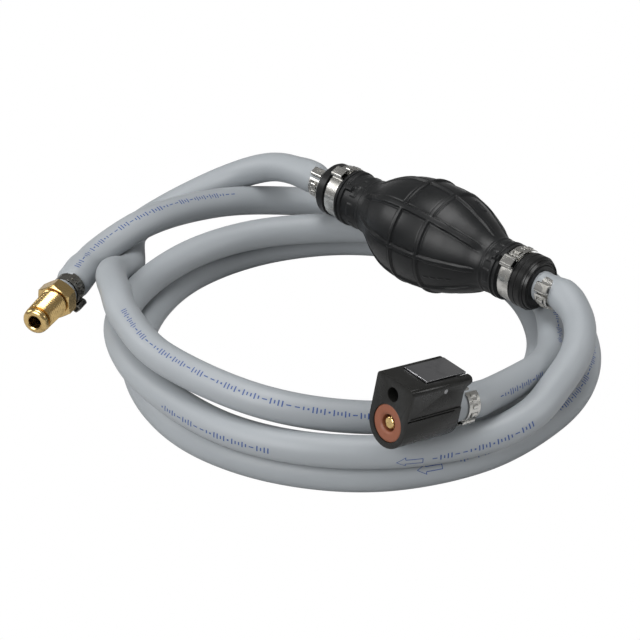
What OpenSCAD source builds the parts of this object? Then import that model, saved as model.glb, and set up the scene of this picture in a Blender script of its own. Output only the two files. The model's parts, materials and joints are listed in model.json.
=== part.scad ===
// Marine fuel primer: two rubber hoses, a squeeze bulb with two check valves,
// a threaded tank fitting and a latching quick connector. Millimetres.
// X runs along the pump with the flow, Z is up, the origin is the middle of the pump.

/* [Hose] */
// Outer diameter of the hose
hose_od = 14.3; // [13:0.1:14.3]
// Inner diameter of the hose
hose_id = 7.9; // [6:0.1:9]
// Sides of the hose tube
hose_sides = 10; // [8:1:12]

/* [Pump] */
// Length over the two collars that the hoses butt against
pump_len = 132; // [130:1:133]
// Diameter of the bulb at its widest
bulb_od = 50.4; // [46:0.2:52]
// Diameter of the bulb's necks
neck_od = 26.4; // [26:0.1:27]
// Wall of the bulb
bulb_wall = 3; // [2:0.1:3.4]
// Diameter of the collars on the check valves
collar_od = 25.8; // [24:0.1:26.6]
// Thickness of the collar at the inlet
inlet_collar = 5; // [4:0.1:5.2]
// Thickness of the collar at the outlet
outlet_collar = 8.5; // [8:0.1:8.8]
// Bore through both check valves
valve_bore = 5.2; // [4:0.1:6]
// How far a check valve's poppet lifts
poppet_lift = 2.5; // [1:0.1:3]

/* [Clamps] */
// Thickness of a clamp's steel band
band_t = 0.8; // [0.6:0.1:0.9]
// Width of a clamp on a bulb neck
neck_band_w = 6.6; // [6:0.1:7]
// Width of a clamp on a hose
hose_band_w = 7; // [6:0.1:8]

/* [Tank fitting] */
// Width across the flats of the hex
hex_af = 15.9; // [15:0.1:16]
// Length of the hex
hex_len = 7.5; // [6:0.1:9]
// Length of the threaded nose
thread_len = 19; // [14:0.5:20]
// Largest diameter of the taper thread
thread_od = 13.7; // [13.2:0.1:14]
// Bore through the fitting
fitting_bore = 6.2; // [5:0.1:6.4]

/* [Connector] */
// Width of the connector
con_w = 21.4; // [21:0.1:22]
// Height from the fuel bore's centre to the top
con_top = 19.7; // [19.6:0.1:20]
// Length along the top
con_len = 34; // [33.6:0.1:34.4]
// Outer diameter of the face seal
seal_od = 16.2; // [15:0.1:16.4]
// Hole in the face seal, which takes the engine's nipple
seal_id = 7.2; // [7:0.1:7.6]
// Diameter of the hole for the guide pin
guide_d = 6.2; // [5.6:0.1:6.2]
// Depth of the hole for the guide pin
guide_depth = 10; // [8:0.1:10]
// How far the connector's valve opens
valve_open = 3; // [1:0.1:3.5]

/* [Hidden] */
$fn = 64;

// Both hoses as they lie, from end to end along their middles.
supply_route = [[-104, -140.4, -17.4], [-108.8, -129.1, -17.4], [-117.3, -106, -14.3],
    [-118.3, -71.6, -10.4], [-118, -29, -17.5], [-107, 5, -25], [-88, 32, -31.5],
    [-58, 49, -34.5], [-14, 57, -34.5], [32, 48, -34.5], [72, 24, -34.5], [95, -3, -34.5],
    [106, -37, -34.5], [104, -82, -34.5], [82, -124, -34.5], [44, -151, -34.5], [0, -159, -34.5],
    [-44, -145, -34.5], [-78, -113, -34.5], [-95, -71, -34.5], [-90, -26, -34.5],
    [-65, 13, -34.5], [-25, 35, -34.5], [20, 35, -34.5], [59, 11, -34.5], [84, -28, -31],
    [89, -71, -23], [70, -120, -12.5], [38, -150, -5], [-12, -158, -3], [-48.1, -148.1, -2.7],
    [-68.3, -136.9, -2.3], [-93.7, -118, -10.7], [-111.2, -92.7, -25], [-139.5, -65.8, -28.7],
    [-145.1, -39.3, -27.4], [-131.3, -11.9, -16.3], [-110, -1, -5], [-88, 0, 0],
    [-pump_len / 2, 0, 0]];
delivery_route = [[pump_len / 2, 0, 0], [80, 0, 0], [95, -8, -3], [106.5, -23, -7], [113, -44, -11.5],
    [116, -65, -16], [109, -87, -20.1], [91, -118.5, -20.4], [64, -145, -19.5], [32, -159, -19.5],
    [-3, -161, -19.5], [-38, -154, -19.5], [-68, -136, -20], [-86, -108, -20.5], [-92, -73, -19.5],
    [-86, -39, -19.5], [-68, -9, -20], [-42, 15, -20.5], [-9, 27, -20], [26, 27, -19.5],
    [58, 15, -19.5], [82, -9, -19], [94, -29, -15.5], [100, -51, -10.5], [102.8, -82.1, -5.3],
    [101, -103.6, -1.1]];

hose_r = hose_od / 2;
bore_r = hose_id / 2;
barb_r = bore_r + 0.5;
barb_root_r = bore_r - 0.1;
barb_len = 16;
slip = 0.05;

// Check valves
end_x = pump_len / 2;
plug_r = 9.3;
neck_bore_r = plug_r + 0.3;
valve_r = valve_bore / 2;
chamber_r = 6.5;
poppet_r = 5.4;
poppet_t = 1.6;
stem_r = 1.2;
stem_len = 11;
inlet_seat_x = -52;
outlet_seat_x = 44;
plug_len = 21;
cage_t = 2;
cage_gap = 8.4;

// Bulb
neck_r = neck_od / 2;
bulb_r = bulb_od / 2;
neck_groove_r = neck_r - 1;
bulb_left = -end_x + inlet_collar + 0.5;
bulb_right = end_x - outlet_collar - 0.5;
belly_left = 42;
belly_right = 43;
belly_power = 1.35;
belly_steps = 7;
ring_rib_x = [-5, 11];
ring_rib_w = 1.8;
ring_rib_h = 0.8;

// Clamps
clamp_gap = 0.3;
neck_clamp_in_x = bulb_left + neck_band_w / 2 + 0.3;
neck_clamp_out_x = bulb_right - neck_band_w / 2 - 0.3;
hose_clamp_at = 6;
ear_w = 6.4;
ear_h = 2.6;

// Tank fitting, which points back along the start of the supply hose
fit_at = supply_route[0];
fit_dir = supply_route[1] - supply_route[0];
fit_heading = atan2(fit_dir.y, fit_dir.x);
thread_small_r = thread_od / 2 - thread_len / 32;
thread_pitch = 1.4;
thread_depth = 0.7;
nose_len = 3;

// Connector, placed by its fuel bore at the front face
con_at = [98.5, -134.9, 5];
con_turn = [-11, 2, -5];
con_r = con_w / 2;
corner_r = 2;
con_low_len = 30.7;
sweep_r = 4.6;
sweep_z = 12;
seal_t = 4.6;
fuel_bore_r = 5.2;
tail_front = 18;
tail_r = 7.6;
tail_end = 32;
tail_len = 18;
guide_z = 13.4;
latch_room_r = 3.7;
latch_room_end = 16;
pocket_front = 17;
panel_depth = 0.5;
panel_low = 6.4;
panel_high = 17.2;
groove_z = 5.6;
pin_y = 19.9;
pin_z = 15.7;
pin_r = 1;
plate_w = 13.6;
plate_front = 10.9;
plate_back = 33.4;
plate_z = con_top - 0.4;
plate_t = 1.2;
pocket_w = plate_w + 1;
pocket_floor = 16.9;
tab_in = 5.2;
tab_t = 1.2;
hook_w = 4.2;
latch_spring_y = 26.8;
spring_well = 4.8;

// Small vector helpers
function unit(v) = v / norm(v);
function tangent(p, i) =
    unit(p[min(i + 1, len(p) - 1)] - p[max(i - 1, 0)]);
function ring(p, i, r, n, up) =
    let (t = tangent(p, i), side = unit(cross(t, up)), top = cross(side, t))
    [for (k = [0:n - 1]) p[i] + r * (cos(360 * k / n) * side + sin(360 * k / n) * top)];
function wall_faces(rings, n, start, flip) =
    [for (i = [0:rings - 2], k = [0:n - 1], half = [0, 1])
        let (a = start + i * n + k, b = start + i * n + (k + 1) % n, c = a + n, d = b + n)
        flip ? (half == 0 ? [a, b, c] : [b, d, c]) : (half == 0 ? [a, c, b] : [b, c, d])];
function end_faces(first, second, n, flip) =
    [for (k = [0:n - 1], half = [0, 1])
        let (a = first + k, b = first + (k + 1) % n, c = second + k, d = second + (k + 1) % n)
        flip ? (half == 0 ? [a, b, c] : [b, d, c]) : (half == 0 ? [a, c, b] : [b, c, d])];
function flatten(lists) = [for (l = lists, v = l) v];

// A hollow tube swept along a route.
module hose(route) {
    n = hose_sides;
    rings = len(route);
    outer = flatten([for (i = [0:rings - 1]) ring(route, i, hose_r, n, [0, 0, 1])]);
    inner = flatten([for (i = [0:rings - 1]) ring(route, i, bore_r, n, [0, 0, 1])]);
    skin = rings * n;
    polyhedron(points = concat(outer, inner),
        faces = concat(wall_faces(rings, n, 0, false), wall_faces(rings, n, skin, true),
            end_faces(0, skin, n, true), end_faces(skin - n, 2 * skin - n, n, false)));
}

// A round-wire compression spring along X, from x = 0.
module coil_spring(coil_r, wire_r, length, turns) {
    n = 6;
    steps = turns * 12;
    path = [for (i = [0:steps])
        [wire_r + (length - 2 * wire_r) * i / steps, coil_r * cos(30 * i), coil_r * sin(30 * i)]];
    body = flatten([for (i = [0:steps]) ring(path, i, wire_r, n, [1, 0, 0])]);
    last = steps * n;
    polyhedron(points = body,
        faces = concat(wall_faces(steps + 1, n, 0, false),
            [[for (k = [0:n - 1]) k]], [[for (k = [n - 1:-1:0]) last + k]]));
}

// A solid of revolution about X, from points [x, radius].
module lathe(points) {
    rotate([90, 0, 90]) rotate_extrude() polygon([for (p = points) [p.y, p.x]]);
}

// A round bar along X from x0 to x1.
module bar(x0, x1, r) {
    translate([x0, 0, 0]) rotate([0, 90, 0]) cylinder(r = r, h = x1 - x0);
}

// Outline of a hose barb that starts at x0, as [x, radius] points, widest first on each ridge.
function barb(x0, toward) = [for (k = [0:2], e = [0, 1])
    [x0 + toward * (2.5 + 4.5 * k + 3.5 * e), e == 0 ? barb_r : barb_root_r]];

// A stepless ear clamp about X: a steel band with its pinched ear at the top.
module ear_clamp(r, w) {
    translate([-w / 2, 0, 0]) rotate([90, 0, 90]) linear_extrude(w) {
        difference() {
            union() {
                circle(r = r + band_t);
                translate([-ear_w / 2, 0]) square([ear_w, r + ear_h]);
                translate([0, r + ear_h]) circle(r = 1.2);
            }
            circle(r = r);
            translate([-ear_w / 2 + band_t, r - 1]) square([ear_w - 2 * band_t, ear_h + 0.2]);
        }
    }
}

// Puts its children at the connector: Y runs back along the fuel bore, Z up through the latch.
module at_connector() {
    translate(con_at) rotate(con_turn) children();
}

// Turns something made along X to lie along the connector's Y.
module to_y() {
    rotate([0, 0, 90]) children();
}

// Radius of the bulb's outside at x, between the necks.
function belly(x) = neck_r + (bulb_r - neck_r)
    * pow(cos(90 * x / (x < 0 ? belly_left : belly_right)), belly_power);

module primer_bulb() {
    left = [for (k = [0:belly_steps]) -belly_left * (1 - k / belly_steps)];
    right = [for (k = [1:belly_steps]) belly_right * k / belly_steps];
    xs = concat(left, right);
    outer = [for (x = xs) [x, belly(x)]];
    inner = [for (k = [len(xs) - 1:-1:0])
        [xs[k], max(neck_bore_r, belly(xs[k]) - bulb_wall)]];
    color("#1d2023") {
        lathe(concat(
            [[bulb_left, neck_bore_r], [bulb_left, neck_groove_r],
                [bulb_left + neck_band_w + 0.8, neck_groove_r], [bulb_left + neck_band_w + 1.2, neck_r]],
            outer,
            [[bulb_right - neck_band_w - 1.2, neck_r], [bulb_right - neck_band_w - 0.8, neck_groove_r],
                [bulb_right, neck_groove_r], [bulb_right, neck_bore_r]],
            inner));
        for (x = ring_rib_x)
            lathe([[x - ring_rib_w / 2, belly(x) - 1], [x - ring_rib_w / 2, belly(x) + ring_rib_h],
                [x + ring_rib_w / 2, belly(x) + ring_rib_h], [x + ring_rib_w / 2, belly(x) - 1]]);
    }
}

// Inlet: the barb, the collar and the plug in the bulb's neck are one turned piece.
module inlet_valve_body() {
    face = -end_x;
    plug_end = face + inlet_collar + plug_len;
    color("#232425") lathe(concat(
        [[face - barb_len, valve_r]], [for (p = barb(face - barb_len, 1)) p],
        [[face, barb_root_r], [face, collar_od / 2], [face + inlet_collar, collar_od / 2],
            [face + inlet_collar, plug_r], [plug_end, plug_r], [plug_end, chamber_r],
            [inlet_seat_x, chamber_r], [inlet_seat_x, valve_r + 1], [inlet_seat_x - 1, valve_r]]));
}

// A poppet whose disc closes a seat that faces along the flow.
module poppet(seat_x) {
    color("#d9d4c6") lathe([[seat_x + slip, 0], [seat_x + slip, poppet_r],
        [seat_x + poppet_t, poppet_r], [seat_x + poppet_t, stem_r],
        [seat_x + poppet_t + stem_len, stem_r], [seat_x + poppet_t + stem_len, 0]]);
}

module inlet_poppet() {
    poppet(inlet_seat_x);
}

module valve_spring(seat_x) {
    color("#b9bcc0") translate([seat_x + poppet_t + 0.1, 0, 0])
        coil_spring(2.6, 0.35, cage_gap - 0.2, 5);
}

module inlet_spring() {
    valve_spring(inlet_seat_x);
}

// The cage that guides the inlet poppet's stem and lets the fuel past.
module inlet_cage() {
    x0 = inlet_seat_x + poppet_t + cage_gap;
    color("#d9d4c6") difference() {
        bar(x0, x0 + cage_t, chamber_r);
        bar(x0 - 1, x0 + cage_t + 1, stem_r + slip);
        for (a = [0:60:300]) rotate([a, 0, 0]) translate([0, 4.2, 0]) bar(x0 - 1, x0 + cage_t + 1, 1.4);
    }
}

// Outlet: the same parts, with the stem's guide made in one with the body.
module outlet_valve_body() {
    face = end_x;
    plug_end = face - outlet_collar - plug_len;
    guide_x = outlet_seat_x + poppet_t + cage_gap;
    color("#232425") difference() {
        lathe(concat(
            [[plug_end, chamber_r], [plug_end, plug_r], [face - outlet_collar, plug_r],
                [face - outlet_collar, collar_od / 2], [face, collar_od / 2], [face, barb_root_r]],
            [for (k = [5:-1:0]) barb(face + barb_len, -1)[k]],
            [[face + barb_len, valve_r], [guide_x + 7, valve_r], [guide_x + 5, 5],
                [guide_x + cage_t, 5], [guide_x + cage_t, stem_r + slip], [guide_x, stem_r + slip],
                [guide_x, chamber_r]]));
        for (a = [0:90:270]) rotate([a, 0, 0]) translate([0, 3.4, 0])
            bar(guide_x - 0.5, guide_x + cage_t + 0.5, 1.2);
    }
}

module outlet_poppet() {
    poppet(outlet_seat_x);
}

module outlet_spring() {
    valve_spring(outlet_seat_x);
}

// The seat ring pressed in behind the outlet poppet.
module outlet_seat() {
    color("#d9d4c6") lathe([[outlet_seat_x - 4, valve_r], [outlet_seat_x - 4, chamber_r],
        [outlet_seat_x, chamber_r], [outlet_seat_x, valve_r + 1], [outlet_seat_x - 1, valve_r]]);
}

module inlet_neck_clamp() {
    color("silver") translate([neck_clamp_in_x, 0, 0]) ear_clamp(neck_groove_r + clamp_gap, neck_band_w);
}

module outlet_neck_clamp() {
    color("silver") translate([neck_clamp_out_x, 0, 0])
        rotate([35, 0, 0]) ear_clamp(neck_groove_r + clamp_gap, neck_band_w);
}

module inlet_hose_clamp() {
    color("silver") translate([-end_x - hose_clamp_at, 0, 0])
        rotate([15, 0, 0]) ear_clamp(hose_r + slip, hose_band_w);
}

module outlet_hose_clamp() {
    color("silver") translate([end_x + hose_clamp_at, 0, 0])
        rotate([60, 0, 0]) ear_clamp(hose_r + slip, hose_band_w);
}

module supply_hose() {
    color("#8f979e") hose(supply_route);
}

module delivery_hose() {
    color("#8f979e") hose(delivery_route);
}

// Turned brass: taper thread, hex and barb about one bore.
module tank_fitting() {
    ridges = floor((thread_len - nose_len) / thread_pitch);
    thread = [for (k = [0:ridges - 1], e = [0, 1])
        let (x = nose_len + (k + e / 2) * thread_pitch)
        [x - thread_len - hex_len, thread_small_r + x / 32 - e * thread_depth]];
    tip = -thread_len - hex_len;
    color("#c9a349") translate(fit_at) rotate([0, 0, fit_heading]) difference() {
        union() {
            lathe(concat(
                [[tip, 0], [tip, thread_small_r - 2], [tip + 1.2, thread_small_r - 0.8],
                    [tip + nose_len - 0.6, thread_small_r - 0.8]],
                thread,
                [[-hex_len, thread_od / 2 - thread_depth], [-hex_len + 1, hex_af / 2 - 0.5],
                    [0, hex_af / 2 - 0.5], [0, barb_root_r]],
                [for (k = [5:-1:0]) barb(barb_len, -1)[k]],
                [[barb_len, 0]]));
            translate([-hex_len, 0, 0]) rotate([0, 90, 0]) rotate([0, 0, 30])
                cylinder(d = hex_af / cos(30), h = hex_len - 1, $fn = 6);
        }
        bar(tip - 1, barb_len + 1, fitting_bore / 2);
    }
}

module fitting_clamp() {
    color("#6f6c64") translate(fit_at) rotate([0, 0, fit_heading]) translate([5.5, 0, 0])
        rotate([139, 0, 0]) ear_clamp(hose_r + slip, hose_band_w);
}

module connector_clamp() {
    color("silver") at_connector() to_y() translate([tail_end + tail_len - 7, 0, 0])
        rotate([-60, 0, 0]) ear_clamp(hose_r + slip, hose_band_w);
}

// The connector's moulded outline seen from the front: round below, square-shouldered above.
module con_outline() {
    circle(r = con_r);
    translate([-con_r, 0]) square([con_w, con_top - corner_r]);
    translate([-con_r + corner_r, 0]) square([con_w - 2 * corner_r, con_top]);
    for (s = [-1, 1]) translate([s * (con_r - corner_r), con_top - corner_r]) circle(r = corner_r);
}

module connector_body() {
    color("#26272a") at_connector() difference() {
        translate([0, con_len, 0]) rotate([90, 0, 0]) linear_extrude(con_len) con_outline();
        // fuel passage: the seal's recess, the valve's chamber and the hose tail's socket
        to_y() bar(-1, seal_t, seal_od / 2 + slip);
        to_y() bar(-1, tail_front, fuel_bore_r);
        to_y() bar(tail_front, con_len + 1, tail_r);
        translate([0, 0, guide_z]) to_y() bar(-1, guide_depth, guide_d / 2);
        translate([0, 0, guide_z]) to_y() bar(guide_depth, latch_room_end, latch_room_r);
        // pocket, tab slots and hook slot of the latch
        translate([-pocket_w / 2, pocket_front, pocket_floor]) cube([pocket_w, con_len, con_top]);
        translate([-pocket_w / 2, plate_front - 0.4, con_top - 1.8]) cube([pocket_w, con_len, con_top]);
        for (s = [-1, 1]) translate([s * (tab_in + tab_t / 2) - 1, 15.6, 12.4])
            cube([2, 8.6, con_top]);
        translate([-hook_w / 2 - 0.2, plate_front + 0.4, guide_z]) cube([hook_w + 0.4, 3.4, con_top]);
        translate([0, latch_spring_y, pocket_floor - spring_well]) cylinder(r = 2.6, h = con_top);
        // cross hole of the pin, stopped short of the far side
        translate([0, pin_y, pin_z]) bar(-con_w / 2 + 1, con_w / 2 + 1, pin_r);
        // side panels, side grooves and the hollowed back
        for (s = [-1, 1]) translate([s * con_r - panel_depth, 1.6, panel_low])
            cube([2 * panel_depth, con_len, panel_high - panel_low]);
        for (s = [-1, 1]) translate([s * con_r, 13.6, groove_z]) cube([1.2, 26.6, 0.8], center = true);
        translate([-con_r - 1, con_low_len, -con_top]) cube([con_w + 2, con_len, con_top + sweep_z]);
        translate([0, con_low_len + sweep_r, sweep_z]) bar(-con_r - 1, con_r + 1, sweep_r);
    }
}

module face_seal() {
    color("#7a4028") at_connector() to_y() difference() {
        bar(0.2, seal_t, seal_od / 2);
        bar(-1, seal_t + 1, seal_id / 2);
    }
}

module connector_valve() {
    color("#c9a349") at_connector() to_y() lathe([[1, 0], [1, 2.2], [1.8, 2.8], [seal_t + 0.2, 2.8],
        [seal_t + 0.2, 4.6], [seal_t + 1.8, 4.6], [seal_t + 1.8, 1.6], [tail_front + 1.8, 1.6],
        [tail_front + 1.8, 0]]);
}

module connector_spring() {
    spring_from = seal_t + 1.9;
    color("#b9bcc0") at_connector() to_y() translate([spring_from, 0, 0])
        coil_spring(3.6, 0.4, tail_front - 0.1 - spring_from, 5);
}

// The hose tail screwed into the connector's back; its front wall guides the valve's stem.
module hose_tail() {
    stop = tail_end + tail_len;
    color("#232425") at_connector() to_y() difference() {
        lathe(concat(
            [[tail_front, stem_r + 0.4 + slip], [tail_front, tail_r], [tail_front + 3, tail_r],
                [tail_front + 3, tail_r - 1.2], [tail_front + 5, tail_r - 1.2], [tail_front + 5, tail_r],
                [tail_end, tail_r], [tail_end, barb_root_r]],
            [for (k = [5:-1:0]) barb(stop, -1)[k]],
            [[stop, valve_r], [tail_front + 8, valve_r], [tail_front + 6, 4.8], [tail_front + cage_t, 4.8],
                [tail_front + cage_t, stem_r + 0.4 + slip]]));
        for (a = [0:90:270]) rotate([a, 0, 0]) translate([0, 3.4, 0])
            bar(tail_front - 0.5, tail_front + cage_t + 0.5, 1.1);
    }
}

module tail_o_ring() {
    color("#151515") at_connector() to_y() difference() {
        bar(tail_front + 3.2, tail_front + 4.8, tail_r);
        bar(tail_front + 3, tail_front + 5, tail_r - 1.2);
    }
}

// Pressed steel: the thumb plate, two tabs round the pin and the hook that holds the guide pin.
module latch_lever() {
    tab_front = 17;
    tab_len = 5.8;
    tab_low = 13.2;
    hook_low = 15.7;
    color("#b5b8bb") at_connector() difference() {
        union() {
            translate([-plate_w / 2, plate_front, plate_z]) cube([plate_w, plate_back - plate_front, plate_t]);
            for (s = [-1, 1]) translate([s * (tab_in + tab_t / 2) - tab_t / 2, tab_front, tab_low])
                cube([tab_t, tab_len, plate_z - tab_low + 0.1]);
            translate([-hook_w / 2, plate_front + 1, hook_low]) cube([hook_w, 1.3, plate_z - hook_low + 0.1]);
        }
        translate([0, pin_y, pin_z]) bar(-con_r, con_r, pin_r + slip);
    }
}

module latch_pin() {
    color("#9a9c9e") at_connector() translate([0, pin_y, pin_z]) bar(-con_r + 1, con_r - 0.5, pin_r);
}

module latch_spring() {
    color("#b9bcc0") at_connector() translate([0, latch_spring_y, pocket_floor - spring_well + 0.05]) rotate([0, -90, 0])
        coil_spring(2, 0.25, plate_z - pocket_floor + spring_well - 0.1, 4);
}

primer_bulb();
inlet_valve_body();
inlet_poppet();
inlet_spring();
inlet_cage();
outlet_valve_body();
outlet_poppet();
outlet_spring();
outlet_seat();
inlet_neck_clamp();
outlet_neck_clamp();
inlet_hose_clamp();
outlet_hose_clamp();
supply_hose();
tank_fitting();
fitting_clamp();
delivery_hose();
connector_clamp();
connector_body();
face_seal();
connector_valve();
connector_spring();
hose_tail();
tail_o_ring();
latch_lever();
latch_pin();
latch_spring();
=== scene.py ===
import json
import math

import bpy
import numpy as np
from mathutils import Euler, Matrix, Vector

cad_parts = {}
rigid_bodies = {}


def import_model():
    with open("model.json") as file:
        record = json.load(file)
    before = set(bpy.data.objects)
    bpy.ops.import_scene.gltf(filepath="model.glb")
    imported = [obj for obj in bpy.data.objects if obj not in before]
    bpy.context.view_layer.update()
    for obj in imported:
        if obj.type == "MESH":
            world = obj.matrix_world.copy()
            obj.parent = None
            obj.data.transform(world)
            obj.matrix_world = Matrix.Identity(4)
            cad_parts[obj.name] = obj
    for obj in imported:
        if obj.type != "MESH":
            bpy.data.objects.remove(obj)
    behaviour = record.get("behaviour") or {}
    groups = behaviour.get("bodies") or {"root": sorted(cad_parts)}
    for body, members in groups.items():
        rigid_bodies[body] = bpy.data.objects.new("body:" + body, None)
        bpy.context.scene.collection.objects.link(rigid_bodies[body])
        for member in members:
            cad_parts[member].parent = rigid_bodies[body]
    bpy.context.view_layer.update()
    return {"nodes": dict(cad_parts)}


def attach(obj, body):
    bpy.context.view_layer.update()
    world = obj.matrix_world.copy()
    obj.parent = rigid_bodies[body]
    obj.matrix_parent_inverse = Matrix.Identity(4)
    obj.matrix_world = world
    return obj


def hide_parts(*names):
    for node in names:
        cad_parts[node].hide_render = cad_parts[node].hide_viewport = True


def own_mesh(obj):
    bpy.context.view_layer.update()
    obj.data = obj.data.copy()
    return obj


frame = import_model()

# The bulb: one moulding of black fuel-proof rubber, blow-moulded in two halves, with raised ribs for grip.
# The ribs make a cage: eight run lengthwise and two go round, and the mould's seam runs under two of them.
# In use its belly flattens between finger and thumb while its necks stay round on the valves' plugs; here the
# belly is built as a piece of its own and left at rest.
MM = 0.001
BELLY_LINE = [(-44, 12.9), (-40, 13), (-36, 13.6), (-33, 14.7), (-30, 16.3), (-26, 18.8), (-20, 21.8),
              (-14, 23.8), (-6, 25), (2, 25.2), (10, 24.4), (18, 22.4), (24, 20), (30, 17.2), (35, 14.6),
              (39, 13.2), (43, 12.9), (47, 12.9)]
BELLY_ENDS = (-37.5, 39.5)
RIB_TURN = 39
RIB_GAP = 45
RIB_HIGH = 0.85
SEAM_TURN = 129
HOOPS = (-5, 11)
PAD_TURN = 62
BUTTON_TURN = 198
BUTTONS = (15.5, 19, 22.5, 26)


def ease(low, high, x):
    """0 below low, 1 above high and a smooth slope between."""
    t = np.clip((x - low) / (high - low), 0, 1)
    return t * t * (3 - 2 * t)


def raised(x, half, flank):
    """A flat-topped rib: 1 within half of the middle, 0 past the flank."""
    return 1 - ease(half - flank / 2, half + flank / 2, np.abs(x))


def flowing(points, spacing):
    """Points about spacing apart on a smooth line through the given ones."""
    p = np.asarray(points, float)
    p = np.vstack([2 * p[0] - p[1], p, 2 * p[-1] - p[-2]])
    line = []
    for a, b, c, d in zip(p, p[1:], p[2:], p[3:]):
        steps = max(1, int(math.ceil(np.linalg.norm(c - b) / spacing)))
        t = np.linspace(0, 1, steps, endpoint=False)[:, None]
        line.append(0.5 * (2 * b + (c - a) * t + (2 * a - 5 * b + 4 * c - d) * t ** 2
                           + (3 * b - a - 3 * c + d) * t ** 3))
    return np.vstack(line + [p[-2:-1]])


def shell(name, rings, loop=False, capped=False, sharp=32):
    """A smooth mesh of rings of points in millimetres, each joined to the next."""
    rings = np.asarray(rings, float)
    count, around = rings.shape[:2]
    at = np.arange(count * around).reshape(count, around)
    if loop:
        at = np.vstack([at, at[:1]])
    a, b = at[:-1], at[1:]
    faces = np.stack([a, np.roll(a, -1, 1), np.roll(b, -1, 1), b], 2).reshape(-1, 4).tolist()
    if capped:
        faces += [at[0][::-1].tolist(), at[-1].tolist()]
    mesh = bpy.data.meshes.new(name)
    mesh.from_pydata((rings.reshape(-1, 3) * MM).tolist(), [], faces)
    mesh.shade_smooth()
    mesh.set_sharp_from_angle(angle=math.radians(sharp))
    piece = bpy.data.objects.new(name, mesh)
    bpy.context.scene.collection.objects.link(piece)
    return piece


def along(profile, step):
    """The same outline with no gap over step, corners kept."""
    p = np.asarray(profile, float)
    out = []
    for a, b in zip(p, p[1:]):
        n = max(1, int(math.ceil(np.linalg.norm(b - a) / step)))
        out.append(a + (b - a) * np.linspace(0, 1, n, endpoint=False)[:, None])
    return np.vstack(out + [p[-1:]])


PUMP_AXIS = (np.zeros(3), np.eye(3))


def turned(name, profile, around=96, shape=None, place=PUMP_AXIS, loop=True, **kept):
    """A body turned about an axis from (distance along, radius) points.

    shape, where it is given, changes the radius at each distance along, radius and turn in degrees.
    """
    p = np.asarray(profile, float)
    turn = np.arange(around) * 2 * math.pi / around
    x, r = np.meshgrid(p[:, 0], turn, indexing="ij")[0], np.repeat(p[:, 1:2], around, 1)
    if shape:
        r = shape(x, r, np.degrees(turn)[None, :])
    start, axes = place
    local = np.stack([x, r * np.cos(turn), r * np.sin(turn)], 2)
    return shell(name, start + local @ axes, loop=loop, **kept)


def join(name, pieces):
    """Several meshes made into one piece."""
    bpy.ops.object.select_all(action="DESELECT")
    for p in pieces:
        p.select_set(True)
    bpy.context.view_layer.objects.active = pieces[0]
    bpy.ops.object.join()
    pieces[0].name = name
    pieces[0].data.name = name
    return pieces[0]


def fit(piece, body, slot, material, *nodes):
    """Puts a finished piece on its body, with its material and the CAD nodes that it stands for."""
    piece.data.materials.clear()
    piece.data.materials.append(material)
    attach(piece, body)
    if nodes:
        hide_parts(*nodes)
    return piece


def group(name, inputs, outputs):
    """An empty node group with number inputs and the named outputs."""
    tree = bpy.data.node_groups.new(name, "ShaderNodeTree")
    for label, value in inputs.items():
        tree.interface.new_socket(label, in_out="INPUT", socket_type="NodeSocketFloat").default_value = value
    for label in outputs:
        tree.interface.new_socket(label, in_out="OUTPUT", socket_type="NodeSocketFloat")
    return tree, tree.nodes.new("NodeGroupInput"), tree.nodes.new("NodeGroupOutput")


# Moulded and extruded skins share one grain: a fine tooth, slow blotches and a little dust on what faces up.
skin_tree, skin_in, skin_out = group("skin_grain", {"Tooth per metre": 2500.0, "Blotches per metre": 60.0},
                                     ["Tooth", "Blotch", "Dust"])
skin_at = skin_tree.nodes.new("ShaderNodeTexCoord")
tooth = skin_tree.nodes.new("ShaderNodeTexNoise")
tooth.inputs["Detail"].default_value = 3
blotch = skin_tree.nodes.new("ShaderNodeTexNoise")
blotch.inputs["Detail"].default_value = 5
blotch.inputs["Roughness"].default_value = 0.6
facing = skin_tree.nodes.new("ShaderNodeNewGeometry")
split = skin_tree.nodes.new("ShaderNodeSeparateXYZ")
up_only = skin_tree.nodes.new("ShaderNodeMapRange")
up_only.inputs["From Min"].default_value = 0.2
up_only.inputs["From Max"].default_value = 1.0
dusty = skin_tree.nodes.new("ShaderNodeMath")
dusty.operation = "MULTIPLY"
for a, b in ((skin_at.outputs["Object"], tooth.inputs["Vector"]),
             (skin_at.outputs["Object"], blotch.inputs["Vector"]),
             (skin_in.outputs["Tooth per metre"], tooth.inputs["Scale"]),
             (skin_in.outputs["Blotches per metre"], blotch.inputs["Scale"]),
             (facing.outputs["Normal"], split.inputs["Vector"]),
             (split.outputs["Z"], up_only.inputs["Value"]),
             (up_only.outputs["Result"], dusty.inputs[0]),
             (blotch.outputs["Fac"], dusty.inputs[1]),
             (tooth.outputs["Fac"], skin_out.inputs["Tooth"]),
             (blotch.outputs["Fac"], skin_out.inputs["Blotch"]),
             (dusty.outputs["Value"], skin_out.inputs["Dust"])):
    skin_tree.links.new(a, b)


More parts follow.
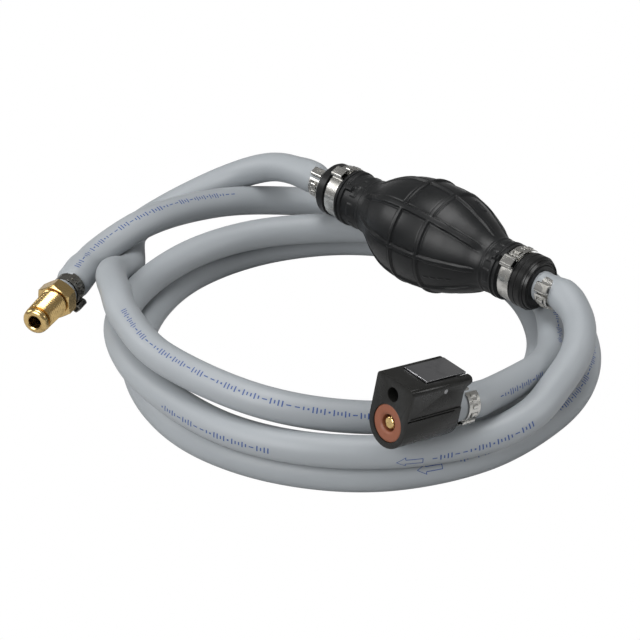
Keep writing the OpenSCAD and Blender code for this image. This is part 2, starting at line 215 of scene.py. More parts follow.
def moulded(name, dark, light, rough, tooth_depth, dust=0.0, tooth_size=2500.0, blotch_size=60.0, shine=0.5):
    """Rubber or plastic: a base colour that drifts between two, uneven gloss and a fine tooth."""
    material = bpy.data.materials.new(name)
    material.use_nodes = True
    tree = material.node_tree
    shader = tree.nodes["Principled BSDF"]
    grain = tree.nodes.new("ShaderNodeGroup")
    grain.node_tree = skin_tree
    grain.inputs["Tooth per metre"].default_value = tooth_size
    grain.inputs["Blotches per metre"].default_value = blotch_size
    drift = tree.nodes.new("ShaderNodeMix")
    drift.data_type = "RGBA"
    drift.inputs[6].default_value = (*dark, 1)
    drift.inputs[7].default_value = (*light, 1)
    dusted = tree.nodes.new("ShaderNodeMix")
    dusted.data_type = "RGBA"
    dusted.inputs[7].default_value = (0.34, 0.34, 0.33, 1)
    amount = tree.nodes.new("ShaderNodeMath")
    amount.operation = "MULTIPLY"
    amount.inputs[1].default_value = dust
    gloss = tree.nodes.new("ShaderNodeMapRange")
    gloss.inputs["From Min"].default_value = 0.3
    gloss.inputs["From Max"].default_value = 0.7
    gloss.inputs["To Min"].default_value = rough[0]
    gloss.inputs["To Max"].default_value = rough[1]
    bump = tree.nodes.new("ShaderNodeBump")
    bump.inputs["Strength"].default_value = 1
    bump.inputs["Distance"].default_value = tooth_depth * MM
    shader.inputs["Specular IOR Level"].default_value = shine
    for a, b in ((grain.outputs["Blotch"], drift.inputs[0]),
                 (drift.outputs[2], dusted.inputs[6]),
                 (grain.outputs["Dust"], amount.inputs[0]),
                 (amount.outputs["Value"], dusted.inputs[0]),
                 (dusted.outputs[2], shader.inputs["Base Color"]),
                 (grain.outputs["Blotch"], gloss.inputs["Value"]),
                 (gloss.outputs["Result"], shader.inputs["Roughness"]),
                 (grain.outputs["Tooth"], bump.inputs["Height"]),
                 (bump.outputs["Normal"], shader.inputs["Normal"])):
        tree.links.new(a, b)
    return material


bulb_rubber = moulded("bulb_rubber", (0.005, 0.0055, 0.006), (0.009, 0.0095, 0.010), (0.3, 0.42), 0.03,
                      dust=0.01, shine=0.28)


def swing(turn, middle):
    """How far a turn lies from a middle one, from -180 to 180 degrees."""
    return (turn - middle + 180) % 360 - 180


def off_seam(turn):
    """How far a turn lies from the nearer side of the mould's seam, in degrees."""
    return np.minimum(np.abs(swing(turn, SEAM_TURN)), np.abs((turn - SEAM_TURN) % 360 - 180))


def off_rib(turn):
    """How far a turn lies from the nearest lengthwise rib, in degrees."""
    return (turn - RIB_TURN + RIB_GAP / 2) % RIB_GAP - RIB_GAP / 2


def bulb_ribs(x, r, turn):
    """The belly's radius with its ribs, hoops and small pads."""
    fade = 1 - ease(31, 37, np.abs(x - 1))
    side = np.radians(off_rib(turn)) * r
    seam = off_seam(turn)
    wide = np.where(seam < 12, 1.35, 0.95)
    lengthwise = raised(side, wide, 0.5) * fade * np.where(seam < 12, 1.15, 1)
    gutter = (raised(np.abs(side) - wide - 0.55, 0.3, 0.4)) * fade * 0.22
    hoop = np.zeros_like(x + side)
    for at in HOOPS:
        hoop = np.maximum(hoop, raised(x - at, 0.85, 0.5))
        gutter = np.maximum(gutter, raised(np.abs(x - at) - 1.35, 0.3, 0.4) * 0.22)
    pad = raised(x - 20, 3.4, 0.6) * raised(np.radians(swing(turn, PAD_TURN)) * r, 1.2, 0.5)
    for at in BUTTONS:
        button = raised(x - at, 1.1, 0.4) * raised(np.radians(swing(turn, BUTTON_TURN)) * r, 0.5, 0.35)
        pad = np.maximum(pad, button * 0.6)
    rib = np.maximum(lengthwise, hoop)
    outside = r > 12.8
    return r + outside * (RIB_HIGH * rib - gutter * (rib < 0.5) + 0.45 * pad * (rib < 0.5))


belly_line = flowing(BELLY_LINE, 0.42)
belly_part = belly_line[(belly_line[:, 0] > BELLY_ENDS[0]) & (belly_line[:, 0] < BELLY_ENDS[1])]
belly_outline = np.vstack([[(belly_part[0, 0], 9.7)], belly_part, [(belly_part[-1, 0], 9.7)]])
bulb_belly = turned("bulb_belly", belly_outline, around=480, shape=bulb_ribs, loop=False, sharp=50)
fit(bulb_belly, "line", "bulb_rubber", bulb_rubber, "primer_bulb")
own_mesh(bulb_belly)


def neck_ribs(x, r, turn):
    """Fins where the seam's ribs end, and the shallow pads round the neck."""
    fin = raised(np.radians(off_seam(turn)) * r, 1.3, 0.6) * raised(np.abs(x) - 46.5, 2.2, 1.0)
    pad = raised(np.radians(off_rib(turn)) * r, 3.2, 0.5) * raised(np.abs(x) - 43.2, 1.5, 0.5)
    return r + (r > 12.4) * (1.5 * fin + 0.3 * pad)


def neck(name, side, ends, groove, seam_x):
    """One neck: the hidden dome under the belly, the ridges, the clamp's groove and the lip."""
    under = [(seam_x - 17, 0.5), (seam_x - 16, 9.5), (seam_x - 11, 13.2), (seam_x - 5, 13.4),
             (seam_x - 0.6, 12.9)]
    ridges = [(seam_x - 0.5, 13.35), (seam_x + 0.7, 13.35), (seam_x + 1.2, 12.95), (groove - 4.6, 12.8),
              (groove - 4.2, 13.5), (groove - 3.1, 13.6), (groove - 2.7, 12.9), (groove - 2.1, 12.9),
              (groove - 1.8, 13.5), (groove - 0.7, 13.5), (groove - 0.4, 12.9), (groove - 0.2, 12.2),
              (ends - 0.5, 12.2), (ends - 0.3, 12.45), (ends, 12.3), (ends, 9.8), (seam_x - 15, 9.3)]
    outline = along(under + ridges, 0.5)
    outline[:, 0] *= side
    made = turned(name, outline, around=240, shape=neck_ribs, loop=False, sharp=40)
    if side > 0:
        made.data.flip_normals()
    return fit(made, "line", "bulb_rubber", bulb_rubber)


neck("inlet_neck", -1, 60.5, 53.2, 37.5)
neck("outlet_neck", 1, 57, 49.7, 39.5)

# The check valves: turned plugs of black fuel-proof nylon, pushed into the bulb's necks up to their collars.
# Each has a barb for its hose. A light spring shuts the pale acetal poppet inside it, so fuel only goes one way.
black_nylon = moulded("black_nylon", (0.006, 0.006, 0.006), (0.011, 0.011, 0.011), (0.26, 0.4), 0.02,
                      shine=0.3)
BARB = [(0, 2.6), (0, 3.3), (2.5, 4.35), (2.9, 4.35), (6, 3.85), (7, 4.35), (7.4, 4.35), (10.5, 3.85),
        (11.5, 4.35), (11.9, 4.35), (15, 3.85)]
BARB_TIP = 82
FLASH_TURN = 250


def collar_marks(x, r, turn):
    """A thin flash line of the mould on the collar."""
    return r + 0.12 * (r > 12) * raised(np.radians(swing(turn, FLASH_TURN)) * r, 0.2, 0.2)


inlet_outline = [(x - BARB_TIP, r) for x, r in BARB] + [
    (-66, 3.85), (-66, 9.6), (-65.6, 9.9), (-65.6, 10.6), (-66, 10.9), (-66, 11.9), (-65.4, 12.4),
    (-64.9, 12.4), (-64.6, 12.8), (-61.3, 12.8), (-61, 12.4), (-61, 9.3), (-40, 9.3), (-40, 6.5), (-52, 6.5),
    (-52, 3.6), (-53, 2.6)]
inlet_plug = turned("inlet_plug", along(inlet_outline, 1.5), around=180, shape=collar_marks)
inlet_plug.data.flip_normals()
fit(inlet_plug, "line", "black_plastic", black_nylon, "inlet_valve_body")
outlet_outline = [(BARB_TIP - x, r) for x, r in BARB] + [
    (66, 3.85), (66, 9.4), (65.5, 9.8), (65.5, 10.5), (66, 10.9), (65.9, 11.3), (64.6, 11.7), (64.6, 12.2),
    (63.9, 12.4), (63.3, 12.9), (60.9, 12.9), (60.6, 12.6), (60.2, 12.6), (59.9, 12.9), (57.8, 12.9),
    (57.5, 12.5), (57.5, 9.3), (36.5, 9.3), (36.5, 6.5), (54, 6.5), (54, 1.25), (56, 1.25), (56, 5), (59, 5),
    (61, 2.6)]
outlet_plug = turned("outlet_plug", along(outlet_outline, 1.5), around=180, shape=collar_marks)
fit(outlet_plug, "line", "black_plastic", black_nylon, "outlet_valve_body")
acetal = moulded("pale_acetal", (0.62, 0.58, 0.48), (0.7, 0.66, 0.57), (0.35, 0.5), 0.01)


def keep(node, material, shade=30):
    """A CAD node that is right as it stands gets its finish."""
    part = frame["nodes"][node]
    part.data.materials.clear()
    part.data.materials.append(material)
    part.data.shade_smooth()
    part.data.set_sharp_from_angle(angle=math.radians(shade))
    return part


for node in ("inlet_poppet", "inlet_cage", "outlet_poppet", "outlet_seat"):
    keep(node, acetal)


# Metal shares one wear: drawn or brushed lines, and a stain that dulls it in patches.
metal_tree, metal_in, metal_out = group("metal_wear", {"Lines per metre": 3000.0, "Stains per metre": 120.0},
                                        ["Lines", "Stain"])
metal_at = metal_tree.nodes.new("ShaderNodeTexCoord")
lines = metal_tree.nodes.new("ShaderNodeTexNoise")
lines.inputs["Detail"].default_value = 2
stretch = metal_tree.nodes.new("ShaderNodeMapping")
stretch.inputs["Scale"].default_value = (1.0, 0.12, 0.3)
stain = metal_tree.nodes.new("ShaderNodeTexNoise")
stain.inputs["Detail"].default_value = 4
for a, b in ((metal_at.outputs["Object"], stretch.inputs["Vector"]),
             (stretch.outputs["Vector"], lines.inputs["Vector"]),
             (metal_at.outputs["Object"], stain.inputs["Vector"]),
             (metal_in.outputs["Lines per metre"], lines.inputs["Scale"]),
             (metal_in.outputs["Stains per metre"], stain.inputs["Scale"]),
             (lines.outputs["Fac"], metal_out.inputs["Lines"]),
             (stain.outputs["Fac"], metal_out.inputs["Stain"])):
    metal_tree.links.new(a, b)


STAIN_SPREAD = 0.25


def worked_metal(name, clean, stained, rough, line_depth, lines_size=3000.0, stain_size=120.0,
                 stain_from=0.45):
    """Metal whose colour and gloss drift with its stain, with worked lines in its surface."""
    material = bpy.data.materials.new(name)
    material.use_nodes = True
    tree = material.node_tree
    shader = tree.nodes["Principled BSDF"]
    shader.inputs["Metallic"].default_value = 1
    wear = tree.nodes.new("ShaderNodeGroup")
    wear.node_tree = metal_tree
    wear.inputs["Lines per metre"].default_value = lines_size
    wear.inputs["Stains per metre"].default_value = stain_size
    spread = tree.nodes.new("ShaderNodeMapRange")
    spread.inputs["From Min"].default_value = stain_from
    spread.inputs["From Max"].default_value = stain_from + STAIN_SPREAD
    colour = tree.nodes.new("ShaderNodeMix")
    colour.data_type = "RGBA"
    colour.inputs[6].default_value = (*clean, 1)
    colour.inputs[7].default_value = (*stained, 1)
    gloss = tree.nodes.new("ShaderNodeMapRange")
    gloss.inputs["To Min"].default_value = rough[0]
    gloss.inputs["To Max"].default_value = rough[1]
    bump = tree.nodes.new("ShaderNodeBump")
    bump.inputs["Distance"].default_value = line_depth * MM
    for a, b in ((wear.outputs["Stain"], spread.inputs["Value"]),
                 (spread.outputs["Result"], colour.inputs[0]),
                 (colour.outputs[2], shader.inputs["Base Color"]),
                 (spread.outputs["Result"], gloss.inputs["Value"]),
                 (gloss.outputs["Result"], shader.inputs["Roughness"]),
                 (wear.outputs["Lines"], bump.inputs["Height"]),
                 (bump.outputs["Normal"], shader.inputs["Normal"])):
        tree.links.new(a, b)
    return material


spring_wire = worked_metal("spring_wire", (0.6, 0.61, 0.63), (0.35, 0.35, 0.36), (0.2, 0.35), 0.01)
for node in ("inlet_spring", "outlet_spring"):
    keep(node, spring_wire, 60)


# The clamps: stainless ear clamps, each rolled from one strip. The strip goes round once and laps over
# itself, its hooks catch in a window of the lap, and pinching the ear pulls it tight.
LAP_THICK = 0.4
band_steel = worked_metal("band_steel", (0.68, 0.67, 0.64), (0.42, 0.41, 0.38), (0.2, 0.38), 0.012,
                          stain_size=260.0)


def strip(name, path, half, thick, place, sideways=0.0, closed=False):
    """A flat strip with eased edges, bent along a path across the axis; sideways moves it along the axis."""
    start, axes = place
    p = np.asarray(path, float)
    t = np.roll(p, -1, 0) - np.roll(p, 1, 0) if closed else np.gradient(p, axis=0)
    t /= np.linalg.norm(t, axis=1)[:, None]
    out = np.stack([t[:, 1], -t[:, 0]], 1)
    e = min(thick, half) * 0.28
    section = [(-half + e, 0), (half - e, 0), (half, e), (half, thick - e), (half - e, thick),
               (-half + e, thick), (-half, thick - e), (-half, e)]
    rings = np.stack([np.column_stack([np.full(len(p), sideways + s), p + out * h]) for s, h in section], 1)
    return shell(name, start + rings @ axes, loop=closed, capped=not closed, sharp=35)


def arc(radius, low, high, step=3.0):
    """Points round the axis from one turn to another, in degrees."""
    turn = np.radians(np.linspace(low, high, max(3, int(abs(high - low) / step))))
    return np.column_stack([radius * np.cos(turn), radius * np.sin(turn)])


def ear_clamp(name, place, radius, width, ear, way, material, node, rise=3.0, pinch=2.1, bulge=2.9,
              thick=0.75):
    """An ear clamp about the place's axis, its ear at the given turn and its window on the side given by way."""
    foot_half = pinch + 1.1
    foot = math.degrees(math.asin(min(1, foot_half / radius)))
    ear_half = [(bulge * 0.72, rise + 0.35), (bulge, rise * 0.85), (bulge, rise * 0.55), (pinch, 0.9),
                (pinch + 0.3, 0.25), (foot_half, -0.02)]
    ear_line = [(-a, b) for a, b in ear_half[::-1]] + [(0, rise + 0.45)] + ear_half
    spoke = math.radians(ear)
    u, v = np.array([math.sin(spoke), -math.cos(spoke)]), np.array([math.cos(spoke), math.sin(spoke)])
    reach = math.sqrt(radius ** 2 - foot_half ** 2)
    curve = flowing(ear_line, 0.35)
    bump = np.array([-a * u + (reach + b) * v for a, b in curve])
    hoop = arc(radius, ear + foot + 1.5, ear + 360 - foot - 1.5)
    path = np.vstack([bump, hoop])
    path = path if np.cross(path[1] - path[0], path[0]) < 0 else path[::-1]
    path = path[::-1]
    half = width / 2
    pieces = [strip(name, path, half, thick, place, closed=True)]
    lap = radius + thick

    def turns(low, high):
        """Points of the lap from one turn past the ear to another."""
        line = arc(lap, ear + way * low, ear + way * high, 2.0)
        return line if way > 0 else line[::-1]

    first = foot + 0.5
    deg = math.degrees(1 / lap)
    window = (first + 1.0 * deg, first + 4.4 * deg)
    last = first + 13.5 * deg
    pieces.append(strip(name, turns(first, window[0] + 0.3), half * 0.94, LAP_THICK, place))
    for side in (-1, 1):
        edge = turns(window[0], window[1])
        pieces.append(strip(name, edge, half * 0.17, LAP_THICK, place, sideways=side * half * 0.77))
    pieces.append(strip(name, turns(window[1] - 0.3, last), half * 0.94, LAP_THICK, place))

    def tongue(line, wide):
        """A raised tongue bent along (radius, turn past the ear) points."""
        at = [(r, math.radians(ear + way * a)) for r, a in line]
        bent = flowing([(r * math.cos(a), r * math.sin(a)) for r, a in at], 0.3)
        pieces.append(strip(name, bent if way > 0 else bent[::-1], half * wide, LAP_THICK, place))

    hook = ((-0.2, 0.9), (0.3, 1.3), (0.45, 2.1), (0.1, 3.0))
    tongue([(lap + high, window[0] + a * deg) for high, a in hook], 0.42)
    bead = ((0.1, -0.8), (0.42, -0.4), (0.42, 0.4), (0.1, 0.8))
    for past in (2.4, 4.9, 7.4):
        tongue([(lap + high, window[1] + past * deg + a * deg) for high, a in bead], 0.36)
    slot = "stainless" if material is band_steel else "dark_steel"
    return fit(join(name, pieces), "line", slot, material, node)


def on_pump(x):
    """The pump's axis, started at x."""
    return np.array([x, 0, 0.0]), np.eye(3)


ear_clamp("inlet_neck_band", on_pump(-56.9), 12.3, 6.6, 109, -1, band_steel, "inlet_neck_clamp")
ear_clamp("outlet_neck_band", on_pump(53.4), 12.3, 6.6, 128, -1, band_steel, "outlet_neck_clamp")
ear_clamp("inlet_hose_band", on_pump(-72), 6.85, 7, 118, 1, band_steel, "inlet_hose_clamp",
          rise=2.6, pinch=1.7, bulge=2.4)
ear_clamp("outlet_hose_band", on_pump(72), 6.85, 7, 150, 1, band_steel, "outlet_hose_clamp",
          rise=2.2, pinch=1.7, bulge=2.4)


# The hoses: extruded grey rubber for fuel, 14.3 mm outside and 7.9 mm inside, with one row of blue ink marks.
# They were coiled for packing, so they lie in loose turns. The rubber swells where a barb stretches it.
HOSE_R = 7.15
HOSE_BORE_R = 3.95
LOWEST = -34.8
SUPPLY_RUN = 1526.6
DELIVERY_RUN = 749.5
SUPPLY = [
    (-104, -140.4, -17.4), (-108.8, -129.1, -17.4), (-117.3, -106, -14.3), (-118.3, -71.6, -10.4),
    (-118, -29, -17.5), (-107, 5, -25), (-88, 32, -31.5), (-58, 49, -34.5), (-14, 57, -34.5),
    (32, 48, -34.5), (72, 24, -34.5), (95, -3, -34.5), (106, -37, -34.5), (104, -82, -34.5),
    (82, -124, -34.5), (44, -151, -34.5), (0, -159, -34.5), (-44, -145, -34.5), (-78, -113, -34.5),
    (-95, -71, -34.5), (-90, -26, -34.5), (-65, 13, -34.5), (-25, 35, -34.5), (20, 35, -34.5),
    (59, 11, -34.5), (84, -28, -31), (89, -71, -23), (70, -120, -12.5), (38, -150, -5), (-12, -158, -3),
    (-48.1, -148.1, -2.7), (-68.3, -136.9, -2.3), (-93.7, -118, -10.7), (-111.2, -92.7, -25),
    (-139.5, -65.8, -28.7), (-145.1, -39.3, -27.4), (-131.3, -11.9, -16.3), (-110, -1, -5), (-88, 0, 0),
    (-66, 0, 0)]
DELIVERY = [
    (66, 0, 0), (80, 0, 0), (95, -8, -3), (106.5, -23, -7), (113, -44, -11.5), (116, -65, -16),
    (109, -87, -20.1), (91, -118.5, -20.4), (64, -145, -19.5), (32, -159, -19.5), (-3, -161, -19.5),
    (-38, -154, -19.5), (-68, -136, -20), (-86, -108, -20.5), (-92, -73, -19.5), (-86, -39, -19.5),
    (-68, -9, -20), (-42, 15, -20.5), (-9, 27, -20), (26, 27, -19.5), (58, 15, -19.5), (82, -9, -19),
    (94, -29, -15.5), (100, -51, -10.5), (102.8, -82.1, -5.3), (101, -103.6, -1.1)]
hose_rubber = moulded("hose_rubber", (0.265, 0.285, 0.302), (0.30, 0.32, 0.338), (0.42, 0.55), 0.02,
                      dust=0.04, tooth_size=1800.0, blotch_size=25.0)
ink = moulded("blue_ink", (0.012, 0.035, 0.16), (0.04, 0.09, 0.27), (0.45, 0.6), 0.0, blotch_size=900.0)


def lay(route, spacing=2.2):
    """A hose's middle line, with the distance run and the upward and sideways directions at each point."""
    middle = flowing(route, spacing)
    middle[:, 2] = np.maximum(middle[:, 2], LOWEST)
    run = np.r_[0, np.cumsum(np.linalg.norm(np.diff(middle, axis=0), axis=1))]
    heading = np.gradient(middle, axis=0)
    heading /= np.linalg.norm(heading, axis=1)[:, None]
    up = np.array([0, 0, 1.0]) - heading * heading[:, 2:]
    up /= np.linalg.norm(up, axis=1)[:, None]
    return middle, run, up, np.cross(heading, up)


def hose(name, route, girth, around=40):
    """A hose along a route, hollow for a short way in; girth gives its radius at each distance run."""
    middle, run, up, side = lay(route)
    turn = np.arange(around) * 2 * math.pi / around
    spoke = up[:, None] * np.cos(turn)[None, :, None] + side[:, None] * np.sin(turn)[None, :, None]
    radius = girth(run)
    outer = middle[:, None] + spoke * radius[:, None, None]
    inner = middle[:, None] + spoke * HOSE_BORE_R
    start_rim = middle[0] + spoke[0] * (radius[0] - 0.5)
    end_rim = middle[-1] + spoke[-1] * (radius[-1] - 0.5)
    rings = np.concatenate([inner[:4][::-1], [start_rim], outer, [end_rim], inner[-4:][::-1]])
    made = shell(name, rings, sharp=40)
    made.data.flip_normals()
    return made, middle


def supply_girth(s):
    """Swollen behind the fitting's clamp and a little behind the bulb's."""
    far = SUPPLY_RUN - s
    swell = 1.05 * ease(9, 12, s) * (1 - ease(22, 29, s))
    at_fitting = -0.3 * raised(s - 5.5, 3.6, 1.0) + swell + 0.2 * (1 - ease(0.6, 2, s))
    at_bulb = -0.35 * raised(far - 6, 3.6, 1.0) + 0.6 * ease(9.8, 12, far) * (1 - ease(17, 27, far))
    return HOSE_R + at_fitting + at_bulb


def delivery_girth(s):
    """The same at the bulb's outlet and behind the connector."""
    far = DELIVERY_RUN - s
    at_bulb = -0.35 * raised(s - 6, 3.6, 1.0) + 0.4 * ease(9.8, 12, s) * (1 - ease(17, 25, s))
    at_connector = -0.3 * raised(far - 11, 3.6, 1.0) + 0.5 * ease(14.8, 17, far) * (1 - ease(19, 29, far))
    return HOSE_R + at_bulb + at_connector


supply, supply_line = hose("supply_line", SUPPLY, supply_girth)
fit(supply, "line", "hose_rubber", hose_rubber, "supply_hose")
delivery, delivery_line = hose("delivery_line", DELIVERY, delivery_girth)
fit(delivery, "line", "hose_rubber", hose_rubber, "delivery_hose")


def marks(name, route, girth, stretches, arrows):
    """Ink marks on a hose: rows of ticks and dashes over stretches of it, and arrows that show the flow."""
    middle, run, up, side = lay(route)
    points, faces = [], []

    def patch(s0, s1, h0, h1, turn, lean=0.0):
        """A patch of ink from s0 to s1 along the hose and h0 to h1 across it, on the side given by turn."""
        rows = max(1, int(abs(s1 - s0) / 1.5)) + 1
        cols = max(1, int(abs(h1 - h0) / 0.9)) + 1
        first = len(points)
        for s in np.linspace(s0, s1, rows):
            for h in np.linspace(h0, h1, cols):
                at = s + lean * h
                c, u, v = (np.array([np.interp(at, run, q[:, k]) for k in range(3)])
                           for q in (middle, up, side))
                r = float(girth(np.array([at]))[0]) + 0.04
                a = math.radians(turn) + h / r
                points.append(c + r * (math.cos(a) * u + math.sin(a) * v))
        for i in range(rows - 1):
            for k in range(cols - 1):
                a = first + i * cols + k
                faces.append((a, a + 1, a + cols + 1, a + cols))

    pattern = ["tall", "tall", "short", "tall", "dash", "short", "tall", "short", "short", "tall", "dot",
               "tall", "short", "tall", "tall", "dot", "short", "dash", "dash"]
    shapes = {"tall": (0.55, 1.0, 1.3), "short": (0.55, 1.0, 0.75), "dash": (2.0, 1.4, 0.24),
              "dot": (0.8, 1.4, 0.4)}
    for start, end, turn_start, turn_end in stretches:
        s, k = start, 0
        while s < end:
            long, gap, half = shapes[pattern[k % len(pattern)]]
            turn = turn_start + (turn_end - turn_start) * (s - start) / (end - start)
            patch(s + gap / 2, s + gap / 2 + long, -half, half, turn)
            s += long + gap
            k += 1
    arrow_lines = ((4, 11, 0.9, 1.25), (4, 11, -1.25, -0.9), (10.7, 11.05, -1.1, 1.1), (3.8, 4.15, 1.1, 2.3),
                   (3.8, 4.15, -2.3, -1.1))
    for tip, way, turn in arrows:
        for s0, s1, h0, h1 in arrow_lines:
            patch(tip + way * s0, tip + way * s1, h0, h1, turn)
        for h in (-1, 1):
            patch(tip + way * 0.1, tip + way * 0.6, 0, h * 2.25, turn, lean=way * h * 1.65)
    mesh = bpy.data.meshes.new(name)
    mesh.from_pydata((np.array(points) * MM).tolist(), [], faces)
    piece = bpy.data.objects.new(name, mesh)
    bpy.context.scene.collection.objects.link(piece)
    return fit(piece, "line", "hose_rubber", ink)


supply_marks = marks("supply_marks", SUPPLY, supply_girth,
                     [(14, 120, 12, 34), (330, 488, -20, -44), (1128, 1262, -55, -18)],
                     [(508, -1, -52)])
delivery_marks = marks("delivery_marks", DELIVERY, delivery_girth,
                       [(98, 141, -75, -94), (208, 262, -86, -84), (610, 660, 10, -30), (690, 722, -70, -72)],
                       [(158, -1, -97)])

for soft_marks, hose_piece in ((supply_marks, supply), (delivery_marks, delivery)):
    soft_marks.parent = hose_piece
    soft_marks.matrix_parent_inverse.identity()


# The tank fitting: one piece of turned brass with a barb for the hose, a hex and a taper pipe thread.
# Its flats were milled, its thread was cut last, and handling has left the hex duller than the thread.
brass = worked_metal("turned_brass", (0.70, 0.50, 0.22), (0.38, 0.26, 0.10), (0.2, 0.4), 0.02,
                     stain_size=170.0, stain_from=0.5)
BARB_LONG = 16
FLATS = 15.9
HEX_END = 7.5
NOSE_END = 26.5
THREAD = (8.6, 22.4)
THREAD_PITCH = 1.41
hose_start = np.array(SUPPLY[0], float)
outward = hose_start - np.array(SUPPLY[1], float)
outward /= np.linalg.norm(outward)
fitting_place = (hose_start, np.array([outward, np.cross((0, 0, 1), outward), (0, 0, 1)]))


def fitting_shape(x, r, turn):
    """The hex with its chamfers, and the helix of the thread."""
    corner = (turn + 30) % 60 - 30
    flat = FLATS / 2 / np.cos(np.radians(corner))
    chamfer = FLATS / 2 - 0.25 + np.minimum(x - 0.1, HEX_END - x) * 1.7
    hexed = np.minimum(flat, chamfer)
    phase = ((x - THREAD[0]) / THREAD_PITCH - turn / 360) % 1
    depth = 0.78 * np.clip(1.25 * (1 - 2 * np.abs(phase - 0.5)), 0.08, 1)
    depth = depth * ease(THREAD[0] - 0.6, THREAD[0] + 0.4, x)
    depth = depth * (1 - ease(THREAD[1] - 0.3, THREAD[1] + 0.4, x))
    threaded = r - np.where((x > THREAD[0] - 0.6) & (x < THREAD[1] + 0.4) & (r > 5.5), depth, 0)
    return np.where((r > 8.4) & (x > 0.05) & (x < HEX_END + 0.05), hexed, threaded)


barb_part = [(x - BARB_LONG, r) for x, r in BARB[2:]]
fitting_outline = along([(-BARB_LONG, 3.1), (-BARB_LONG, 3.3)] + barb_part + [(0.1, 3.85), (0.1, 7.6)], 2)
hex_part = along([(0.1, 9.2), (HEX_END, 9.2)], 0.18)
neck_part = along([(HEX_END, 7.0), (HEX_END + 0.1, 6.15), (THREAD[0] - 0.6, 6.1)], 0.3)
thread_part = along([(THREAD[0] - 0.5, 6.85), (THREAD[1] + 0.4, 6.42)], 0.11)
nose_part = [(22.9, 5.55), (23.4, 5.5), (23.6, 5.9), (24.0, 6.15), (24.6, 6.25), (25.2, 6.1), (25.8, 5.75),
             (26.2, 5.2), (26.45, 4.6), (NOSE_END, 4.2), (NOSE_END, 3.7), (26.1, 3.15), (25.5, 3.1),
             (10, 3.1), (-4, 3.1)]
tank_outline = np.vstack([fitting_outline, hex_part, neck_part, thread_part, nose_part])
tank_fitting = turned("tank_fitting_brass", tank_outline, around=180, shape=fitting_shape,
                      place=fitting_place, sharp=28)
tank_fitting.data.flip_normals()
fit(tank_fitting, "line", "brass", brass, "tank_fitting")
dark_band = worked_metal("dark_band", (0.30, 0.29, 0.26), (0.13, 0.12, 0.11), (0.2, 0.4), 0.015,
                         stain_size=300.0)
ear_clamp("fitting_band", (hose_start - outward * 5.5, fitting_place[1]), 6.9, 7, 311, 1, dark_band,
          "fitting_clamp", rise=4.2, pinch=1.1, bulge=2.1)


# The quick connector: a block of glass-filled nylon that clips over the engine's fuel nipple and guide pin.
# A brass valve behind a brown face seal shuts it when it is off. A sprung steel latch grips the guide pin.
CON_AT = np.array([98.5, -134.9, 5])
CON_TURN = (-11, 2, -5)
TAIL_END = 50
BAND_BACK = 43
con_axes = np.array(Euler([math.radians(a) for a in CON_TURN]).to_matrix()).T
fuel_way = (CON_AT, np.array([con_axes[1], con_axes[2], con_axes[0]]))


def ease_edges(part, width, segments=2, angle=35):
    """Softens a moulded or pressed part's edges."""
    weld = part.modifiers.new("weld", "WELD")
    weld.merge_threshold = 0.00001
    soften = part.modifiers.new("soften", "BEVEL")
    soften.width = width * MM
    soften.segments = segments
    soften.limit_method = "ANGLE"
    soften.angle_limit = math.radians(angle)
    soften.harden_normals = True


connector_nylon = moulded("connector_nylon", (0.006, 0.006, 0.0055), (0.011, 0.011, 0.010), (0.22, 0.36),
                          0.03, dust=0.008, blotch_size=90.0, shine=0.3)
ease_edges(keep("connector_body", connector_nylon), 0.35)
seal_rubber = moulded("seal_rubber", (0.17, 0.052, 0.024), (0.22, 0.072, 0.035), (0.42, 0.55), 0.03,
                      blotch_size=300.0)
seal_outline = [(4.6, 3.6), (1.6, 3.6), (0.9, 3.75), (0.45, 4.2), (0.2, 4.9), (0.2, 7.5), (0.45, 7.95),
                (0.9, 8.1), (4.6, 8.1)]
seal = turned("seal_ring", along(seal_outline, 0.7), place=fuel_way)
seal.data.flip_normals()
fit(seal, "line", "seal_rubber", seal_rubber, "face_seal")


def valve_cuts(x, r, turn):
    """Three shallow flow cuts across the valve's tip."""
    cut = raised(np.radians((turn + 60) % 120 - 60) * r, 0.35, 0.3)
    return r - 0.35 * cut * (x < 2.0) * (r > 1.2)


valve_outline = [(1.2, 0.05), (1.1, 0.9), (1.0, 1.7), (1.1, 2.2), (1.4, 2.55), (2.0, 2.78), (4.8, 2.8),
                 (4.8, 4.6), (6.4, 4.6), (6.4, 1.6), (19.6, 1.6), (19.8, 1.4), (19.8, 0.05)]
valve = turned("shutoff_plunger", along(valve_outline, 0.6), place=fuel_way, shape=valve_cuts, loop=False,
               capped=True)
valve.data.flip_normals()
fit(valve, "shutoff_valve", "brass", brass, "connector_valve")
keep("connector_spring", spring_wire, 60)
tail_outline = [(18, 1.65), (18, 7.55), (21, 7.55), (21, 6.4), (23, 6.4), (23, 7.55), (31.6, 7.55), (32, 7.2),
                (32, 3.85)] + [(TAIL_END - x, r) for x, r in BARB[::-1]] + [
                (TAIL_END, 2.6), (26, 2.6), (24, 4.8), (20, 4.8), (20, 1.65)]
tail = turned("hose_tail_nylon", along(tail_outline, 1.5), place=fuel_way)
tail.data.flip_normals()
fit(tail, "line", "black_plastic", black_nylon, "hose_tail")
ring_rubber = moulded("ring_rubber", (0.008, 0.008, 0.008), (0.014, 0.014, 0.014), (0.3, 0.4), 0.01)
ring_turns = [math.radians(a) for a in range(0, 360, 20)]
ring_outline = [(22 + 0.88 * math.cos(a), 6.95 + 0.6 * math.sin(a)) for a in ring_turns]
ring = turned("tail_ring", ring_outline, place=fuel_way, sharp=60)
fit(ring, "line", "ring_rubber", ring_rubber, "tail_o_ring")
latch_steel = worked_metal("latch_steel", (0.36, 0.36, 0.37), (0.22, 0.22, 0.23), (0.14, 0.26), 0.008,
                           lines_size=2200.0)
ease_edges(keep("latch_lever", latch_steel), 0.22, angle=50)
ease_edges(keep("latch_pin", latch_steel), 0.2, angle=50)
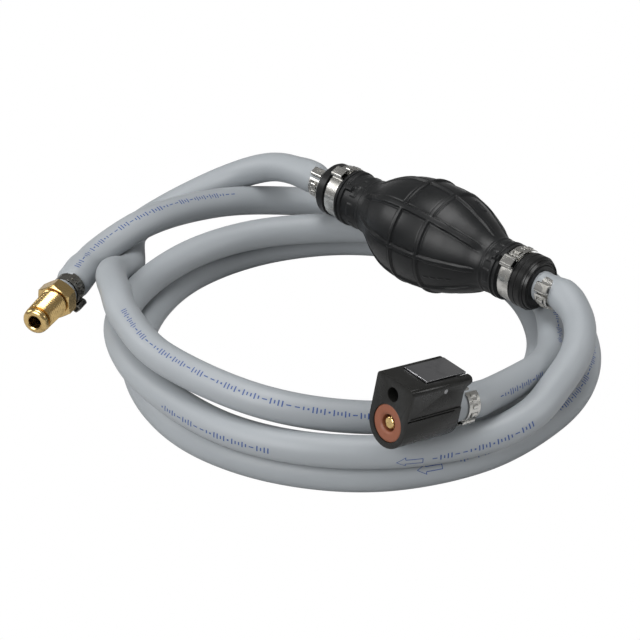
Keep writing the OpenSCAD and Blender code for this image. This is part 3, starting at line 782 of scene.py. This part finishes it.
keep("latch_spring", spring_wire, 60)
ear_clamp("connector_band", (CON_AT + con_axes[1] * BAND_BACK, fuel_way[1]), 6.85, 7, 150, -1, band_steel,
          "connector_clamp", rise=2.4, pinch=1.7, bulge=2.4)


# The room: a wide pale floor just under the lowest turn, in soft light from four lamps.
# The floor and the far wall show as plain white, and still take and throw light as pale grey ones.
FLOOR_HALF = 30
FLOOR_Z = -0.04215
floor_corners = [(x * FLOOR_HALF, y * FLOOR_HALF, FLOOR_Z) for x, y in ((-1, -1), (1, -1), (1, 1), (-1, 1))]
floor_mesh = bpy.data.meshes.new("floor")
floor_mesh.from_pydata(floor_corners, [], [(0, 1, 2, 3)])
floor = bpy.data.objects.new("floor", floor_mesh)
bpy.context.scene.collection.objects.link(floor)
pale = bpy.data.materials.new("pale_floor")
pale.use_nodes = True
nodes, wires = pale.node_tree.nodes, pale.node_tree.links
nodes["Principled BSDF"].inputs["Base Color"].default_value = (0.5, 0.5, 0.5, 1)
nodes["Principled BSDF"].inputs["Roughness"].default_value = 0.9
nodes["Principled BSDF"].inputs["Specular IOR Level"].default_value = 0.1
glow = nodes.new("ShaderNodeEmission")
glow.inputs["Strength"].default_value = 1.0
seen = nodes.new("ShaderNodeLightPath")
either = nodes.new("ShaderNodeMixShader")
wires.new(seen.outputs["Is Camera Ray"], either.inputs[0])
wires.new(nodes["Principled BSDF"].outputs[0], either.inputs[1])
wires.new(glow.outputs[0], either.inputs[2])
wires.new(either.outputs[0], nodes["Material Output"].inputs["Surface"])
floor_mesh.materials.append(pale)


def lamp(name, at, toward, size, power):
    """A soft square lamp."""
    data = bpy.data.lights.new(name, "AREA")
    data.size = size
    data.energy = power
    light = bpy.data.objects.new(name, data)
    bpy.context.scene.collection.objects.link(light)
    light.location = at
    light.rotation_euler = (Vector(toward) - Vector(at)).to_track_quat("-Z", "Y").to_euler()


COIL_MIDDLE = (0, -0.05, 0)
lamp("top_lamp", (-0.1, 0.0, 1.3), COIL_MIDDLE, 0.8, 12)
lamp("front_lamp", (0.15, -1.3, 0.75), COIL_MIDDLE, 0.8, 15)
lamp("left_lamp", (-1.1, -0.7, 0.6), COIL_MIDDLE, 0.5, 5)
lamp("right_lamp", (1.2, 0.5, 0.6), COIL_MIDDLE, 0.5, 5)
room = bpy.data.worlds.new("room")
room.use_nodes = True
nodes, wires = room.node_tree.nodes, room.node_tree.links
nodes["Background"].inputs["Color"].default_value = (1, 1, 1, 1)
nodes["Background"].inputs["Strength"].default_value = 0.22
backdrop = nodes.new("ShaderNodeBackground")
backdrop.inputs["Color"].default_value = (1, 1, 1, 1)
seen = nodes.new("ShaderNodeLightPath")
either = nodes.new("ShaderNodeMixShader")
wires.new(seen.outputs["Is Camera Ray"], either.inputs[0])
wires.new(nodes["Background"].outputs[0], either.inputs[1])
wires.new(backdrop.outputs[0], either.inputs[2])
wires.new(either.outputs[0], nodes["World Output"].inputs["Surface"])
bpy.context.scene.world = room
bpy.context.scene.view_settings.view_transform = "Standard"

camera_data = bpy.data.cameras.new("camera")
camera_data.lens = 132.75
camera_data.sensor_width = 36
camera_data.clip_end = 100
camera = bpy.data.objects.new("camera", camera_data)
bpy.context.scene.collection.objects.link(camera)
camera.location = (0.643, -0.718, 0.543)
camera_view = Vector((-0.032, -0.043, -0.042)) - camera.location
camera.rotation_euler = camera_view.to_track_quat("-Z", "Y").to_euler()
bpy.context.scene.camera = camera
